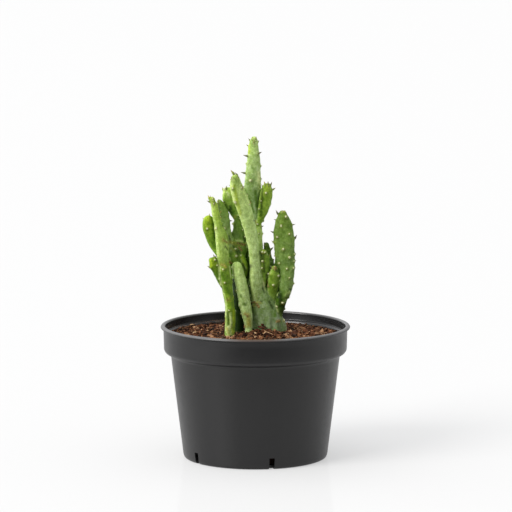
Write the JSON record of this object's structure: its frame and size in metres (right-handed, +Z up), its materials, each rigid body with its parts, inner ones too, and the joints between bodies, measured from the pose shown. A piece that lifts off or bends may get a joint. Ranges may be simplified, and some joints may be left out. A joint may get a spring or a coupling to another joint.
{
  "type": "potted drooping prickly pear",
  "caption": "Clump of flattened, knobbly green cactus stems with short leaves, growing in bark soil in a round tapered nursery pot.",
  "frame": {"origin": "centre of the pot's underside, on the surface that the pot stands on", "axes": "+Z up the plant, -Y towards the front of the plant, +X to the right seen from the front"},
  "size_m": [0.1412, 0.141, 0.2411],
  "materials": {
    "pot_plastic": "satin",
    "bark_soil": "matte",
    "stem_bright": "satin",
    "stem_pale": "satin",
    "stem_dark": "satin",
    "stem_grey_green": "satin"
  },
  "bodies": {
    "root": {"pot": "pot_plastic", "soil": "bark_soil", "stem_left": "stem_bright", "stem_front": "stem_pale", "stem_middle": "stem_dark", "stem_main": "stem_grey_green"}
  },
  "joints": []
}
